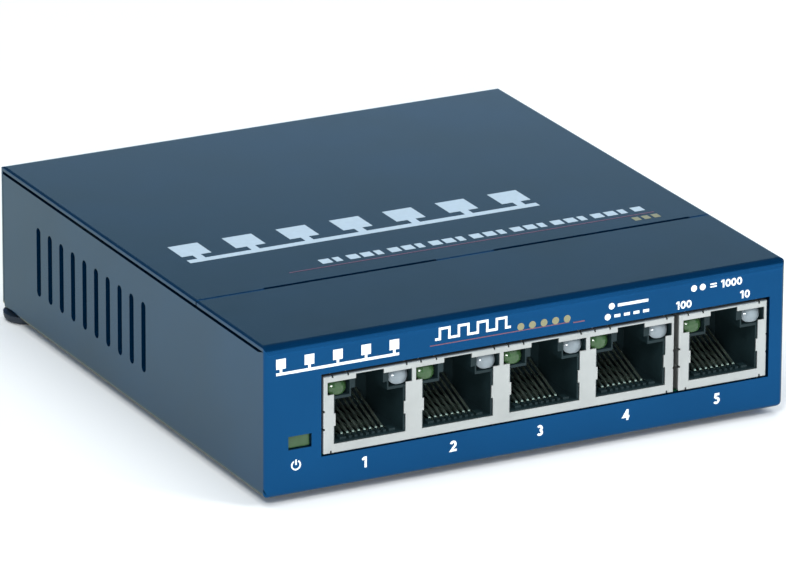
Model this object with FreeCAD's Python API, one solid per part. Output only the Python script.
import FreeCAD, Part
import math
import os

# Desktop network switch: a small steel box with five shielded jacks along the front.
# Millimetres. +X right (seen from the front), +Y to the back, +Z up.
# The origin is the middle of the plane the rubber feet stand on.

V = FreeCAD.Vector
os.makedirs("parts", exist_ok=True)

# ---- case -------------------------------------------------------------------
CASE_W = 94.0
CASE_D = 100.0
CASE_H = 25.4
FOOT_H = 1.5
SHEET = 0.8
BEND_R = 0.8            # outside radius of the upright and bottom bends
TOP_BEND_R = 1.6        # outside radius of the front and rear top bends
CORNER_TRIM_R = 1.8     # rounding cut on the lower corners of the front and rear
PAINT_R = 0.2           # painted rounding of cut sheet edges
SIDE_EDGE_R = 0.4       # rounding of the long top edges
FRONT = -CASE_D / 2
BACK = CASE_D / 2
BASE = FOOT_H           # underside of the case
HALF_W = CASE_W / 2

# ---- joints between the sheets ----------------------------------------------
LIP_DEPTH = 24.6        # top lip of the front, measured back from the front face
SEAM_GAP = 0.35         # between the lip and the cover
SEAM_STEP = 0.45        # extra gap where the tongues dip under the cover
TONGUES = ((-34.8, -3.7), (6.8, 43.2))
TONGUE_LENGTH = 5.0
SIDE_GAP = 0.55         # dark line between the top sheets and the side walls
REAR_RETURN = 1.15      # how far the rear wall turns round the corners

# ---- side vents -------------------------------------------------------------
VENTS = 10
VENT_W = 1.6
VENT_Z = (6.8, 18.85)   # above the case underside
VENT_FIRST_Y = -5.65
VENT_PITCH = 4.49

# ---- front openings ---------------------------------------------------------
JACK_WINDOW_X = (-37.15, 44.15)
JACK_WINDOW_Z = (5.62, 19.45)
LED_WINDOW = (4.1, 2.25)
LED_WINDOW_X = -40.9
LED_WINDOW_Z = 8.8

# ---- jacks ------------------------------------------------------------------
PORT_PITCH = 15.7
GANG_PORTS = tuple(-28.5 + PORT_PITCH * i for i in range(4))
SINGLE_PORT = 35.7
GANG_X = (-36.75, 26.65)
SINGLE_X = (27.45, 43.85)
SHIELD_Z = (5.8, 18.95)
SHIELD_T = 0.25
SHIELD_R = 0.35
SHIELD_FACE = FRONT + 0.1
SHIELD_BACK = FRONT + 21.6
HOUSING_FACE = SHIELD_FACE + 0.3
HOUSING_W = PORT_PITCH - 0.2
HOUSING_BACK = FRONT + 19.0
SOCKET_W = 12.1
SOCKET_Z = (7.5, 14.8)
SOCKET_DEPTH = 13.4
OPENING_W = 12.75
OPENING_Z = (7.35, 17.85)
LED_LEVEL = 15.7
LED_REACH = 7.5         # from the port centre to the outer side of an LED window
LATCH_W = 4.95
LATCH_TOP = 18.6
CONTACTS = 8
CONTACT_PITCH = 1.016
WIRE_W = 0.35
WIRE_T = 0.25
WIRE_BEND = 0.45        # centre-line radius of the hairpin
WIRE_HINGE_Y = FRONT + 3.4
WIRE_HINGE_Z = 7.45
WIRE_ARM = 9.5
WIRE_SLOPE = 20.0
LED_X = (3.6, 7.3)
LED_Z = (15.4, 18.1)
LED_FACE = FRONT + 0.45
LED_DOME_R = 2.4
LED_DOME_Z = 16.2
LED_BACK = FRONT + 7.8

# ---- board ------------------------------------------------------------------
PCB_W = 88.0
PCB_Y = (FRONT + 1.4, BACK - 5.2)
PCB_Z = (4.0, 5.6)
GAP = 0.02              # left between pieces that rest on each other
BOARD_TOP = PCB_Z[1] + GAP
STANDOFFS = ((-39.0, -8.0), (39.0, -8.0), (-39.0, 34.0), (39.0, 34.0))
CHIP_XY = (-3.0, 13.0)
MAGNETIC_Y = -19.0

# ---- rear -------------------------------------------------------------------
DC_X = 30.0
DC_Z = 11.6
DC_BORE = 6.3
DC_COLLAR = 8.4
DC_FRONT = 36.0
DC_FLOOR = 40.6         # bottom of the bore
DC_PIN_R = 1.0
DC_ROOT_R = 1.3
DC_HINGE_Y = 39.6
DC_HINGE_Z = 7.95
LOCK_X = -33.0
LOCK_Z = 12.0
LOCK_SLOT = (7.0, 3.0)
COVER_SCREWS_X = (-41.0, 41.0)
COVER_SCREW_Z = 6.6

# ---- feet -------------------------------------------------------------------
FOOT_R = (3.9, 4.0)     # at the floor and at the case
FOOT_ROUND = 1.1
BACK_FOOT_INSET = 3.2   # centre of a rear foot from both faces of its corner
FRONT_FOOT_INSET = (6.6, 8.5)


def box(x0, x1, y0, y1, z0, z1):
    """Block between two corners; z is measured from the case underside."""
    return Part.makeBox(x1 - x0, y1 - y0, z1 - z0, V(x0, y0, z0 + BASE))


def cyl(x, y, z, radius, length, axis):
    """Cylinder starting at a point; z is measured from the case underside."""
    return Part.makeCylinder(radius, length, V(x, y, z + BASE), axis)


def fuse(shapes):
    """One shape from several."""
    shapes = list(shapes)
    return shapes[0].multiFuse(shapes[1:]).removeSplitter() if len(shapes) > 1 else shapes[0]


def rounded_outline(u0, u1, v0, v1, radii):
    """Closed outline in a plane as (u, v) pieces; radii run from the lower left, anticlockwise."""
    corners = ((u0, v0, 1, 1), (u1, v0, -1, 1), (u1, v1, -1, -1), (u0, v1, 1, -1))
    starts = (180.0, 270.0, 0.0, 90.0)
    pieces = []
    for (u, v, su, sv), radius, start in zip(corners, radii, starts):
        centre = (u + su * radius, v + sv * radius)
        points = []
        for angle in (start, start + 45.0, start + 90.0):
            turn = math.radians(angle)
            points.append((centre[0] + radius * math.cos(turn), centre[1] + radius * math.sin(turn)))
        pieces.append(points)
    return pieces


def outline_face(pieces, place):
    """Face from arc pieces joined by straight lines; place turns (u, v) into a vector."""
    edges = []
    for index, points in enumerate(pieces):
        start, middle, end = (place(*p) for p in points)
        following = place(*pieces[(index + 1) % len(pieces)][0])
        if (end - start).Length > 1e-6:
            edges.append(Part.Arc(start, middle, end).toShape())
        if (following - end).Length > 1e-6:
            edges.append(Part.makeLine(end, following))
    return Part.Face(Part.Wire(edges))


def three_way(xs, ys, zs, plan, side, front):
    """Block rounded in plan, side and front view: the meet of three prisms.

    plan radii: front left, front right, back right, back left.
    side radii: bottom front, bottom back, top back, top front.
    front radii: bottom left, bottom right, top right, top left.
    """
    z0, z1 = zs[0] + BASE, zs[1] + BASE
    from_top = outline_face(rounded_outline(*xs, *ys, plan), lambda u, v: V(u, v, z0))
    from_side = outline_face(rounded_outline(*ys, z0, z1, side), lambda u, v: V(xs[0], u, v))
    from_front = outline_face(rounded_outline(*xs, z0, z1, front), lambda u, v: V(u, ys[0], v))
    solid = from_top.extrude(V(0, 0, z1 - z0))
    solid = solid.common(from_side.extrude(V(xs[1] - xs[0], 0, 0)))
    return solid.common(from_front.extrude(V(0, ys[1] - ys[0], 0)))


def slot(x0, x1, y, z0, z1, width):
    """Upright slot with round ends, cut along X."""
    half = width / 2
    middle = box(x0, x1, y - half, y + half, z0 + half, z1 - half)
    ends = [cyl(x0, y, z, half, x1 - x0, V(1, 0, 0)) for z in (z0 + half, z1 - half)]
    return middle.multiFuse(ends)


def strip(points, x, width):
    """Flat strip of constant X width from a closed list of (y, z) points or arcs."""
    edges = []
    count = len(points)
    for index, item in enumerate(points):
        end = item[-1]
        following = points[(index + 1) % count][0]
        if len(item) == 3:
            edges.append(Part.Arc(*(V(x - width / 2, p[0], p[1] + BASE) for p in item)).toShape())
        if math.dist(end, following) > 1e-6:
            ends = (V(x - width / 2, p[0], p[1] + BASE) for p in (end, following))
            edges.append(Part.makeLine(*ends))
    return Part.Face(Part.Wire(edges)).extrude(V(width, 0, 0))


def polar(centre, radius, angle):
    """Point at an angle in degrees on a circle."""
    turn = math.radians(angle)
    return (centre[0] + radius * math.cos(turn), centre[1] + radius * math.sin(turn))


def hairpin(x, width, thick, centre, bend, arm, slope):
    """Sprung arm: a round bend centred on its hinge, then a straight rising arm."""
    inner, outer = bend - thick / 2, bend + thick / 2
    first, last = 255.0, 90.0 + slope
    half = (first + last) / 2
    along = (arm * math.cos(math.radians(slope)), arm * math.sin(math.radians(slope)))
    tip_outer = tuple(a + b for a, b in zip(polar(centre, outer, last), along))
    tip_inner = tuple(a + b for a, b in zip(polar(centre, inner, last), along))
    outside = tuple(polar(centre, outer, angle) for angle in (first, half, last))
    inside = tuple(polar(centre, inner, angle) for angle in (last, half, first))
    return strip([outside, (tip_outer,), (tip_inner,), inside], x, width)


def tail(x, width, thick, start, run, drop_to):
    """Fixed strip: level from the hairpin, then bent down to the board."""
    y0, z0 = start
    half = thick / 2
    y1 = y0 + run
    outline = [
        (y0, z0 - half), (y1 - thick, z0 - half), (y1 - thick, drop_to),
        (y1, drop_to), (y1, z0 + half), (y0, z0 + half),
    ]
    return strip([(p,) for p in outline], x, width)


def contact_offsets():
    """X offsets of the contacts of one port from its centre."""
    return [CONTACT_PITCH * (i - (CONTACTS - 1) / 2) for i in range(CONTACTS)]


# ---- case sheets ------------------------------------------------------------
def case_block(inset, y_back, plan, side):
    """Solid case envelope drawn in by an inset on every face."""
    xs = (-HALF_W + inset, HALF_W - inset)
    ys = (FRONT + inset, y_back)
    zs = (inset, CASE_H - inset)
    lower = BEND_R - inset
    upper = SIDE_EDGE_R if inset == 0 else 0.0
    return three_way(xs, ys, zs, plan, side, (lower, lower, upper, upper))


def lower_chassis():
    """Tray folded from one sheet: bottom, side walls, front and its top lip."""
    inner_bend = BEND_R - SHEET
    end = BACK - REAR_RETURN - 0.1
    outer = case_block(0.0, end, (BEND_R, BEND_R, 0, 0), (BEND_R, 0, 0, TOP_BEND_R))
    inner = case_block(
        SHEET, end + 5, (inner_bend, inner_bend, 0, 0), (inner_bend, 0, 0, TOP_BEND_R - SHEET)
    )
    tray = outer.cut(inner)
    wall_top = CASE_H - SHEET - SIDE_GAP
    lip_end = FRONT + LIP_DEPTH
    cuts = [box(-60, 60, lip_end, 60, wall_top, 40)]
    cuts += side_slits(wall_top, lip_end)
    cuts += vent_cuts()
    cuts += corner_trims()
    cuts.append(box(*JACK_WINDOW_X, FRONT - 1, FRONT + 1.5, *JACK_WINDOW_Z))
    cuts.append(led_window_cut())
    for x, y in STANDOFFS:
        cuts.append(cyl(x, y, -1, 2.0, 3, V(0, 0, 1)))
    tray = tray.cut(fuse(cuts))
    return fuse([tray] + rear_tabs() + tongues(lip_end))


def side_slits(wall_top, lip_end):
    """Slits under the side edges of the lip, closing to nothing at the front corners."""
    slits = []
    for x in (-HALF_W - 1, HALF_W - SHEET - 0.15):
        points = [
            (FRONT + 0.9, wall_top + SIDE_GAP - 0.12), (FRONT + 2.6, wall_top),
            (lip_end + 1, wall_top), (lip_end + 1, wall_top + SIDE_GAP),
            (FRONT + 0.9, wall_top + SIDE_GAP),
        ]
        slits.append(strip([(p,) for p in points], x + (SHEET + 1.15) / 2, SHEET + 1.15))
    return slits


def vent_cuts():
    """Ten upright slots in each side wall."""
    cuts = []
    for index in range(VENTS):
        y = VENT_FIRST_Y + index * VENT_PITCH
        cuts.append(slot(-HALF_W - 1, -HALF_W + 2, y, *VENT_Z, VENT_W))
        cuts.append(slot(HALF_W - 2, HALF_W + 1, y, *VENT_Z, VENT_W))
    return cuts


def corner_trims():
    """What the rounded lower corners of the front leave over."""
    r = CORNER_TRIM_R
    waste = []
    for side in (-1, 1):
        centre = side * (HALF_W - r)
        xs = sorted((centre, side * (HALF_W + 1)))
        square = box(*xs, FRONT - 1, FRONT + SHEET, -1, r)
        waste.append(square.cut(cyl(centre, FRONT - 2, r, r, SHEET + 3, V(0, 1, 0))))
    return waste


def led_window_cut():
    """Window of the power light."""
    half_w, half_h = LED_WINDOW[0] / 2, LED_WINDOW[1] / 2
    xs = (LED_WINDOW_X - half_w, LED_WINDOW_X + half_w)
    return box(*xs, FRONT - 1, FRONT + 1.5, LED_WINDOW_Z - half_h, LED_WINDOW_Z + half_h)


def rear_tabs():
    """Upturned tabs on the bottom that take the cover screws."""
    tabs = []
    face = BACK - SHEET - 0.1
    for x in COVER_SCREWS_X:
        upright = box(x - 4, x + 4, face - SHEET, face, SHEET / 2, 10.0)
        foot = box(x - 4, x + 4, BACK - 4, face, 0, SHEET)
        hole = cyl(x, BACK - 4, COVER_SCREW_Z, 1.5, 5, V(0, 1, 0))
        tabs.append(upright.fuse(foot).cut(hole))
    return tabs


def tongues(lip_end):
    """Tongues of the lip, bent down so they slide under the cover."""
    parts = []
    low = CASE_H - 2 * SHEET - 0.15
    for x0, x1 in TONGUES:
        flat = box(x0, x1, lip_end - 0.9, lip_end + TONGUE_LENGTH, low, low + SHEET)
        riser = box(x0, x1, lip_end - 0.9, lip_end, low, CASE_H - SHEET)
        parts.append(flat.fuse(riser))
    return parts


def top_cover():
    """Cover folded from one sheet: flat top, rear wall and its corner returns."""
    outer_front = FRONT + LIP_DEPTH + SEAM_GAP
    xs, ys, zs = (-HALF_W, HALF_W), (outer_front, BACK), (0.0, CASE_H)
    side = (0, 0.3, TOP_BEND_R, PAINT_R)
    trim = CORNER_TRIM_R
    edge = SIDE_EDGE_R
    outer = three_way(xs, ys, zs, (0, 0, BEND_R, BEND_R), side, (trim, trim, edge, edge))
    inner_bend = BEND_R - SHEET
    xs = (-HALF_W + SHEET, HALF_W - SHEET)
    ys = (outer_front - 5, BACK - SHEET)
    side = (0, 0, TOP_BEND_R - SHEET, 0)
    zs = (-5, CASE_H - SHEET)
    inner = three_way(xs, ys, zs, (0, 0, inner_bend, inner_bend), side, (0, 0, 0, 0))
    sheet = outer.cut(inner)
    under = CASE_H - SHEET
    cuts = [box(-60, 60, outer_front - 1, BACK - REAR_RETURN, -1, under)]
    for x0, x1 in TONGUES:
        cuts.append(box(x0, x1, outer_front - 1, outer_front + SEAM_STEP, under - 1, CASE_H + 1))
    cuts.append(cyl(DC_X, BACK - 5, DC_Z, DC_COLLAR / 2 + 0.3, 10, V(0, 1, 0)))
    cuts.append(lock_slot_cut())
    for x in COVER_SCREWS_X:
        cuts.append(cyl(x, BACK - 5, COVER_SCREW_Z, 1.65, 10, V(0, 1, 0)))
    return sheet.cut(fuse(cuts))


def lock_slot_cut():
    """Rounded slot for a security-cable lock."""
    half = LOCK_SLOT[1] / 2
    reach = LOCK_SLOT[0] / 2 - half
    middle = box(LOCK_X - reach, LOCK_X + reach, BACK - 2, BACK + 1, LOCK_Z - half, LOCK_Z + half)
    ends = [cyl(LOCK_X + s * reach, BACK - 2, LOCK_Z, half, 3, V(0, 1, 0)) for s in (-1, 1)]
    return middle.multiFuse(ends)


def rubber_foot(x, y):
    """Tapered round foot stuck under the case."""
    foot = Part.makeCone(*FOOT_R, FOOT_H, V(x, y, 0))
    lowest = [e for e in foot.Edges if abs(e.BoundBox.ZMax) < 1e-6]
    return foot.makeFillet(FOOT_ROUND, lowest)


def screws(places, y_axis, shank, length, head_r, head_h):
    """Pan-head screws with a cross recess, head at each place."""
    parts = []
    for x, y, z in places:
        out = V(0, 1, 0) if y_axis else V(0, 0, 1)
        head = cyl(x, y, z, head_r, head_h, out)
        level = V(x, y, z + BASE).dot(out) + head_h
        rim = [e for e in head.Edges if abs(e.CenterOfMass.dot(out) - level) < 1e-6]
        head = head.makeFillet(min(0.45, head_h * 0.45), rim)
        body = cyl(x, y, z, shank, length, out * -1)
        recess = cross_recess(x, y, z, head_h, y_axis)
        parts.append(head.fuse(body).cut(recess).removeSplitter())
    return Part.makeCompound(parts)


def cross_recess(x, y, z, head_h, y_axis):
    """Cross-shaped driver recess in a screw head."""
    depth, arm, half = head_h * 0.6, 1.3, 0.28
    if y_axis:
        reach = (y + head_h - depth, y + head_h + 1)
        level = box(x - arm, x + arm, *reach, z - half, z + half)
        upright = box(x - half, x + half, *reach, z - arm, z + arm)
        return level.fuse(upright)
    reach = (z + head_h - depth, z + head_h + 1)
    across = box(x - arm, x + arm, y - half, y + half, *reach)
    along = box(x - half, x + half, y - arm, y + arm, *reach)
    return across.fuse(along)


# ---- jacks ------------------------------------------------------------------
def face_opening(centre, y0, y1):
    """Opening of the shield in front of one port: plug, latch notch and LED windows."""
    half = OPENING_W / 2
    return fuse([
        box(centre - half, centre + half, y0, y1, *OPENING_Z),
        box(centre - LED_REACH, centre + LED_REACH, y0, y1, LED_LEVEL, OPENING_Z[1]),
        box(centre - LATCH_W / 2, centre + LATCH_W / 2, y0, y1, LED_LEVEL, LATCH_TOP),
    ])


def shield(xs, ports):
    """Tinned shell round a jack: face, top, sides, back and a short bottom flange."""
    ys = (SHIELD_FACE, SHIELD_BACK)
    r = SHIELD_R
    outer = three_way(xs, ys, SHIELD_Z, (r, r, r, r), (0.2, 0, r, r), (r, r, r, r))
    t = SHIELD_T
    inner = box(xs[0] + t, xs[1] - t, ys[0] + t, ys[1] - t, SHIELD_Z[0] + t, SHIELD_Z[1] - t)
    floor = box(xs[0] + t, xs[1] - t, ys[0] + 4, ys[1] - t, SHIELD_Z[0] - 1, SHIELD_Z[1] - t)
    shell = outer.cut(inner).cut(floor)
    cuts = [face_opening(p, FRONT - 1, FRONT + 1) for p in ports]
    cuts += fold_marks(xs, ports)
    shell = shell.cut(fuse(cuts))
    return fuse([shell] + [grip_tab(p, side) for p in ports for side in (-1, 1)])


def fold_marks(xs, ports):
    """Slits where the shell was folded: top edge, side edges and lower corners."""
    reach = (FRONT - 1, SHIELD_FACE + 1.2)
    marks = []
    for p in ports:
        for offset in (-6.6, -3.85, 6.55):
            x = p + offset
            marks.append(box(x - 0.14, x + 0.14, *reach, SHIELD_Z[1] - 0.45, SHIELD_Z[1] + 1))
    for z in (10.0, 13.0):
        marks.append(box(xs[0] - 1, xs[0] + 0.3, *reach, z - 0.18, z + 0.18))
        marks.append(box(xs[1] - 0.3, xs[1] + 1, *reach, z - 0.18, z + 0.18))
    for x in (xs[0] + 1.35, xs[1] - 1.35):
        marks.append(box(x - 0.15, x + 0.15, *reach, SHIELD_Z[0] - 1, SHIELD_Z[0] + 0.5))
    return marks


def grip_tab(centre, side):
    """Small ground tab on each side of an opening."""
    outer = centre + side * OPENING_W / 2
    inner = outer - side * 0.3
    xs = sorted((outer + side * 0.1, inner))
    return box(*xs, SHIELD_FACE, SHIELD_FACE + SHIELD_T, 10.4, 12.5)


def port_housing(p):
    """Moulded block with the plug socket of one port."""
    x0, x1 = p - HOUSING_W / 2, p + HOUSING_W / 2
    body = box(x0, x1, HOUSING_FACE, HOUSING_BACK, SHIELD_Z[0] + SHIELD_T + 0.05, 18.65)
    feet = box(x0, x1, FRONT + 6, HOUSING_BACK, BOARD_TOP, 6.5)
    body = body.fuse(feet).removeSplitter().cut(fuse(socket_cuts(p)))
    return body.fuse(comb(p)).removeSplitter()


def socket_cuts(p):
    """Hollows of one port: plug, latch channel, contact trough and two LED pockets."""
    half = SOCKET_W / 2
    front = FRONT - 1
    cuts = [
        box(p - half, p + half, front, FRONT + SOCKET_DEPTH, *SOCKET_Z),
        box(p - 3.2, p + 3.2, front, FRONT + 11.5, SOCKET_Z[1] - 0.5, 16.2),
        box(p - LATCH_W / 2, p + LATCH_W / 2, front, FRONT + 9, 16.0, 18.45),
        box(p - 4.35, p + 4.35, FRONT + 2.3, FRONT + 15, 6.7, SOCKET_Z[0] + 0.5),
        box(p - 4.35, p + 4.35, FRONT + 12, HOUSING_BACK + 1, 6.7, 7.4),
    ]
    for side in (-1, 1):
        pocket = sorted((p + side * (LED_X[0] - 0.15), p + side * (LED_REACH - 0.1)))
        leads = sorted((p + side * 4.1, p + side * 6.4))
        cuts.append(box(*pocket, front, LED_BACK + 0.1, LED_Z[0] - 0.15, 18.3))
        cuts.append(box(*leads, LED_BACK - 1, HOUSING_BACK + 1, 16.3, 17.1))
    return cuts


def comb(p):
    """Ridge of teeth in front of the contact bends."""
    ridge = box(p - 4.9, p + 4.9, FRONT + 0.9, FRONT + 2.3, SOCKET_Z[0] - 0.3, SOCKET_Z[0] + 0.45)
    slots = [
        box(p + x - 0.26, p + x + 0.26, FRONT, FRONT + 3, SOCKET_Z[0], SOCKET_Z[0] + 1)
        for x in contact_offsets()
    ]
    return ridge.cut(fuse(slots))


def port_contacts(p):
    """Eight sprung wires of one port."""
    centre = (WIRE_HINGE_Y, WIRE_HINGE_Z)
    wires = [
        hairpin(p + x, WIRE_W, WIRE_T, centre, WIRE_BEND, WIRE_ARM, WIRE_SLOPE)
        for x in contact_offsets()
    ]
    return Part.makeCompound(wires)


def contact_tails(ports):
    """Fixed ends of the wires, running under the socket and down to the board."""
    start = (WIRE_HINGE_Y, WIRE_HINGE_Z - WIRE_BEND)
    run = HOUSING_BACK + 0.8 - WIRE_HINGE_Y
    tails = [
        tail(p + x, WIRE_W, WIRE_T, start, run, BOARD_TOP)
        for p in ports for x in contact_offsets()
    ]
    return Part.makeCompound(tails)


def port_led(p, side):
    """Port light: domed lens body with two leads bent down behind the housing."""
    xs = sorted((p + side * LED_X[0], p + side * LED_X[1]))
    square = (0, 0, 0, 0)
    lens = three_way(xs, (LED_FACE, LED_BACK), LED_Z, square, square, (1.4, 1.4, 0.2, 0.2))
    centre = V(sum(xs) / 2, LED_FACE + LED_DOME_R, LED_DOME_Z + BASE)
    barrel = box(*xs, centre.y, LED_BACK, *LED_Z)
    parts = [lens.common(Part.makeSphere(LED_DOME_R, centre).fuse(barrel))]
    back = HOUSING_BACK + 1.3
    for offset in (4.5, 6.0):
        x = p + side * offset
        parts.append(box(x - 0.25, x + 0.25, LED_BACK - 1, back, 16.45, 16.95))
        parts.append(box(x - 0.25, x + 0.25, back - 0.5, back, BOARD_TOP, 16.95))
    return fuse(parts)


# ---- power light and inlet --------------------------------------------------
def power_led():
    """Flat lens that fills the window, with its leads down to the board."""
    half_w, half_h = LED_WINDOW[0] / 2 - 0.12, LED_WINDOW[1] / 2 - 0.12
    x, z = LED_WINDOW_X, LED_WINDOW_Z
    lens = box(x - half_w, x + half_w, FRONT + 0.6, FRONT + 5, z - half_h, z + half_h)
    parts = [lens]
    for offset in (-1.27, 1.27):
        x1 = x + offset
        parts.append(box(x1 - 0.25, x1 + 0.25, FRONT + 4, FRONT + 9, z - 0.25, z + 0.25))
        parts.append(box(x1 - 0.25, x1 + 0.25, FRONT + 8.5, FRONT + 9, BOARD_TOP, z + 0.25))
    return fuse(parts)


def power_led_holder():
    """Black right-angle holder round the back of the power light."""
    x, z = LED_WINDOW_X, LED_WINDOW_Z
    block = box(x - 2.9, x + 2.9, FRONT + 1.6, FRONT + 8.2, BOARD_TOP, z + 2.3)
    bore = box(x - 2.05, x + 2.05, FRONT, FRONT + 5.1, z - 1.1, z + 1.1)
    leads = box(x - 1.7, x + 1.7, FRONT + 4, FRONT + 9, z - 0.4, z + 0.4)
    return block.cut(bore).cut(leads)


def dc_housing():
    """Barrel inlet: block behind the rear wall with a round collar through it."""
    block = box(DC_X - 4.5, DC_X + 4.5, DC_FRONT, BACK - SHEET - 0.2, BOARD_TOP, 17.0)
    collar = cyl(DC_X, BACK - 2, DC_Z, DC_COLLAR / 2, 2.6, V(0, 1, 0))
    body = block.fuse(collar).removeSplitter()
    leaf_x = (DC_X - 1.5, DC_X + 1.5)
    cuts = [
        cyl(DC_X, DC_FLOOR, DC_Z, DC_BORE / 2, 12, V(0, 1, 0)),
        cyl(DC_X, DC_FRONT - 1, DC_Z, DC_ROOT_R + 0.03, 10, V(0, 1, 0)),
        box(*leaf_x, DC_HINGE_Y - 1.2, DC_HINGE_Y + 8.8, 7.0, DC_Z - 1.9),
        box(*leaf_x, DC_HINGE_Y + 3.6, DC_HINGE_Y + 5.0, 5.0, 7.5),
    ]
    return body.cut(fuse(cuts))


def dc_pin():
    """Centre pin of the inlet on a thicker root, with its terminal at the back."""
    start = DC_FRONT - 0.6
    pin = cyl(DC_X, start, DC_Z, DC_PIN_R, 13.6, V(0, 1, 0))
    tip = [e for e in pin.Edges if e.CenterOfMass.y > start + 13.5]
    pin = pin.makeFillet(0.5, tip)
    root = cyl(DC_X, start, DC_Z, DC_ROOT_R, DC_FLOOR - start, V(0, 1, 0))
    strap = box(DC_X - 1.5, DC_X + 1.5, start, start + 0.5, BOARD_TOP, DC_Z + 1.6)
    return fuse([pin, root, strap]).removeSplitter()


def dc_spring():
    """Leaf that presses on the sleeve of the plug."""
    return hairpin(DC_X, 2.2, 0.25, (DC_HINGE_Y, DC_HINGE_Z), 0.5, 7.0, 9.0)


def dc_terminal():
    """Fixed end of the leaf, bent down to the board."""
    start = (DC_HINGE_Y, DC_HINGE_Z - 0.5)
    return tail(DC_X, 2.2, 0.25, start, 4.4, BOARD_TOP)


# ---- board and its parts ----------------------------------------------------
def pcb():
    """Board with rounded corners and four screw holes."""
    half = PCB_W / 2
    board = box(-half, half, *PCB_Y, *PCB_Z)
    upright = [e for e in board.Edges if abs(e.tangentAt(e.FirstParameter).z) > 0.9]
    board = board.makeFillet(1.0, upright)
    holes = [cyl(x, y, 0, 1.65, 10, V(0, 0, 1)) for x, y in STANDOFFS]
    return board.cut(fuse(holes))


def standoffs():
    """Threaded pillars riveted into the bottom."""
    parts = []
    for x, y in STANDOFFS:
        pillar = cyl(x, y, SHEET, 2.9, PCB_Z[0] - SHEET, V(0, 0, 1))
        spigot = cyl(x, y, 0.02, 1.98, SHEET, V(0, 0, 1))
        bore = cyl(x, y, -1, 1.5, 10, V(0, 0, 1))
        parts.append(pillar.fuse(spigot).removeSplitter().cut(bore))
    return Part.makeCompound(parts)


def block_on_board(x, y, w, d, h):
    """Plain body standing on the board."""
    z = BOARD_TOP
    return box(x - w / 2, x + w / 2, y - d / 2, y + d / 2, z, z + h)


def gull_wing(x, y, side, axis_y):
    """One lead of a surface-mount package; side is the direction it leaves the body."""
    z = BOARD_TOP
    profile = (
        (0, 0.75), (0.45, 0.75), (0.6, 0.2), (1.15, 0.2),
        (1.15, 0), (0.45, 0), (0.3, 0.55), (0, 0.55),
    )
    points = []
    for reach, height in profile:
        if axis_y:
            points.append(V(x - 0.2, y + side * reach, BASE + z + height))
        else:
            points.append(V(x + side * reach, y - 0.2, BASE + z + height))
    face = Part.Face(Part.makePolygon(points + [points[0]]))
    return face.extrude(V(0.4, 0, 0) if axis_y else V(0, 0.4, 0))


def package(x, y, w, d, h, leads, pitch):
    """Small-outline package with leads along its front and back."""
    z = PCB_Z[1] + 0.12
    body = box(x - w / 2, x + w / 2, y - d / 2, y + d / 2, z, z + h)
    parts = [body]
    for i in range(leads):
        px = x + pitch * (i - (leads - 1) / 2)
        for side in (-1, 1):
            parts.append(gull_wing(px, y + side * (d / 2 - 0.1), side, True))
    return fuse(parts)


def magnetics():
    """Isolation transformers, one behind each port."""
    ports = GANG_PORTS + (SINGLE_PORT,)
    return Part.makeCompound([package(p, MAGNETIC_Y, 13.0, 10.0, 5.4, 12, 1.0) for p in ports])


def switch_chip():
    """Square main chip with leads on all four sides."""
    x, y = CHIP_XY
    size, pitch, count = 20.0, 0.8, 22
    z = PCB_Z[1] + 0.12
    parts = [box(x - size / 2, x + size / 2, y - size / 2, y + size / 2, z, z + 1.5)]
    for i in range(count):
        offset = pitch * (i - (count - 1) / 2)
        for side in (-1, 1):
            reach = side * (size / 2 - 0.1)
            parts.append(gull_wing(x + offset, y + reach, side, True))
            parts.append(gull_wing(x + reach, y + offset, side, False))
    return fuse(parts)


def thermal_pad():
    """Soft pad between the main chip and its heatsink."""
    x, y = CHIP_XY
    z = PCB_Z[1] + 1.64
    return box(x - 9, x + 9, y - 9, y + 9, z, z + 0.5)


def heatsink():
    """Finned block on the main chip."""
    x, y = CHIP_XY
    z = PCB_Z[1] + 2.16
    plate = box(x - 11, x + 11, y - 11, y + 11, z, z + 2)
    fins = []
    for i in range(8):
        fx = x - 11 + i * (20.8 / 7)
        fins.append(box(fx, fx + 1.2, y - 11, y + 11, z + 1.5, z + 10))
    return fuse([plate] + fins)


def electrolytic(x, y, radius, height):
    """Upright can with a crimped neck and a rubber base."""
    z = BOARD_TOP
    can = cyl(x, y, z, radius, height, V(0, 0, 1))
    top = [e for e in can.Edges if e.CenterOfMass.z > BASE + z + height - 1e-3]
    can = can.makeFillet(0.5, top)
    ring = Part.makeTorus(radius + 0.15, 0.45, V(x, y, BASE + z + 1.6), V(0, 0, 1))
    return can.cut(ring)


def capacitors():
    """Three smoothing capacitors by the inlet."""
    places = ((14.0, 38.0, 4.0, 11.5), (3.5, 38.0, 4.0, 11.5), (-6.5, 38.5, 3.15, 8.0))
    return Part.makeCompound([electrolytic(*p) for p in places])


def inductor(x, y):
    """Shielded power inductor: round core in a square case."""
    case = block_on_board(x, y, 10.0, 10.0, 4.0)
    upright = [e for e in case.Edges if abs(e.tangentAt(e.FirstParameter).z) > 0.9]
    case = case.makeFillet(1.6, upright)
    z = PCB_Z[1] + 3.4
    groove = cyl(x, y, z, 4.2, 2, V(0, 0, 1)).cut(cyl(x, y, z, 3.6, 2, V(0, 0, 1)))
    return case.cut(groove)


def crystal():
    """Low metal crystal can."""
    can = block_on_board(-27.0, 6.0, 11.0, 4.6, 3.4)
    upright = [e for e in can.Edges if abs(e.tangentAt(e.FirstParameter).z) > 0.9]
    return can.makeFillet(2.2, upright)


def smd_row(x, y, count, pitch, size, along_x):
    """Row of small two-ended parts."""
    w, d, h = size
    parts = []
    for i in range(count):
        step = pitch * i
        px, py = (x + step, y) if along_x else (x, y + step)
        parts.append(block_on_board(px, py, w, d, h))
    return parts


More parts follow.
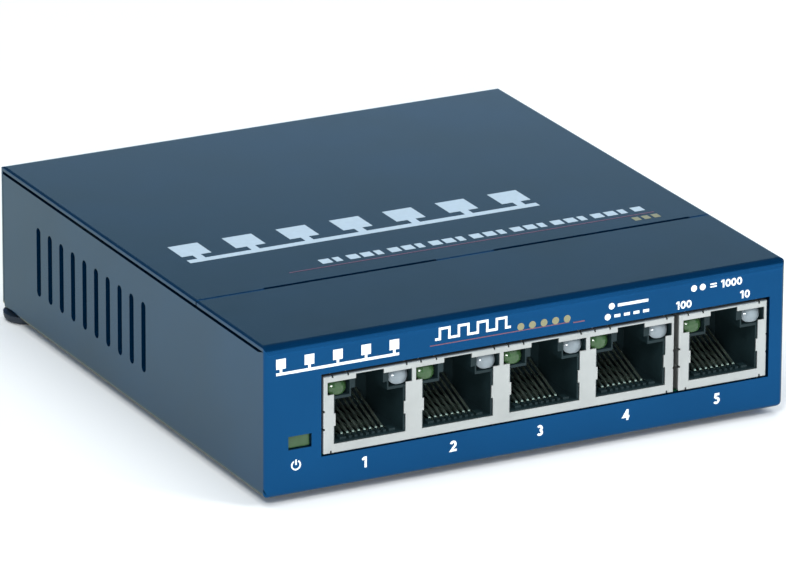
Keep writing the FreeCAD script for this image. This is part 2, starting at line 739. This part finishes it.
def smd_capacitors():
    """Rows of small capacitors round the main chip."""
    parts = smd_row(-14.0, 0.0, 8, 3.0, (1.6, 0.8, 0.8), True)
    parts += smd_row(-16.5, 4.0, 6, 3.2, (0.8, 1.6, 0.8), False)
    parts += smd_row(11.0, 5.0, 5, 3.2, (0.8, 1.6, 0.8), False)
    return Part.makeCompound(parts)


def smd_resistors():
    """Rows of small resistors behind the transformers."""
    parts = smd_row(-31.0, -8.0, 9, 3.4, (1.6, 0.8, 0.45), True)
    parts += smd_row(6.0, -8.0, 8, 3.4, (1.6, 0.8, 0.45), True)
    return Part.makeCompound(parts)


def write(name, shape):
    """Saves one node."""
    shape.exportStep("parts/" + name + ".step")


# ---- build ------------------------------------------------------------------
write("lower_chassis", lower_chassis())
write("top_cover", top_cover())
FEET = {
    "foot_front_left": (FRONT_FOOT_INSET[0] - HALF_W, FRONT + FRONT_FOOT_INSET[1]),
    "foot_front_right": (HALF_W - FRONT_FOOT_INSET[0], FRONT + FRONT_FOOT_INSET[1]),
    "foot_back_left": (BACK_FOOT_INSET - HALF_W, BACK - BACK_FOOT_INSET),
    "foot_back_right": (HALF_W - BACK_FOOT_INSET, BACK - BACK_FOOT_INSET),
}
for foot_name, foot_place in FEET.items():
    write(foot_name, rubber_foot(*foot_place))

write("pcb", pcb())
write("pcb_standoffs", standoffs())
board_screws = [(x, y, BOARD_TOP) for x, y in STANDOFFS]
write("pcb_screws", screws(board_screws, False, 1.4, 4.2, 2.75, 1.6))
rear_screws = [(x, BACK + GAP, COVER_SCREW_Z) for x in COVER_SCREWS_X]
write("cover_screws", screws(rear_screws, True, 1.4, 4.2, 2.8, 1.0))

write("quad_jack_shield", shield(GANG_X, GANG_PORTS))
write("quad_jack_contact_tails", contact_tails(GANG_PORTS))
write("single_jack_shield", shield(SINGLE_X, (SINGLE_PORT,)))
write("single_jack_contact_tails", contact_tails((SINGLE_PORT,)))
for number, port in enumerate(GANG_PORTS + (SINGLE_PORT,), start=1):
    write(f"port_{number}_housing", port_housing(port))
    write(f"port_{number}_contacts", port_contacts(port))
    write(f"port_{number}_led_left", port_led(port, -1))
    write(f"port_{number}_led_right", port_led(port, 1))

write("power_led", power_led())
write("power_led_holder", power_led_holder())
write("dc_jack_housing", dc_housing())
write("dc_jack_pin", dc_pin())
write("dc_jack_spring", dc_spring())
write("dc_jack_terminal", dc_terminal())

write("magnetics", magnetics())
write("switch_chip", switch_chip())
write("thermal_pad", thermal_pad())
write("heatsink", heatsink())
write("electrolytic_capacitors", capacitors())
write("power_inductor", inductor(24.0, 24.0))
write("voltage_regulator", package(16.5, 27.0, 4.0, 5.0, 1.5, 4, 1.0))
write("flash_chip", package(-27.0, 16.0, 5.0, 4.0, 1.5, 4, 1.27))
write("crystal", crystal())
write("smd_capacitors", smd_capacitors())
write("smd_resistors", smd_resistors())
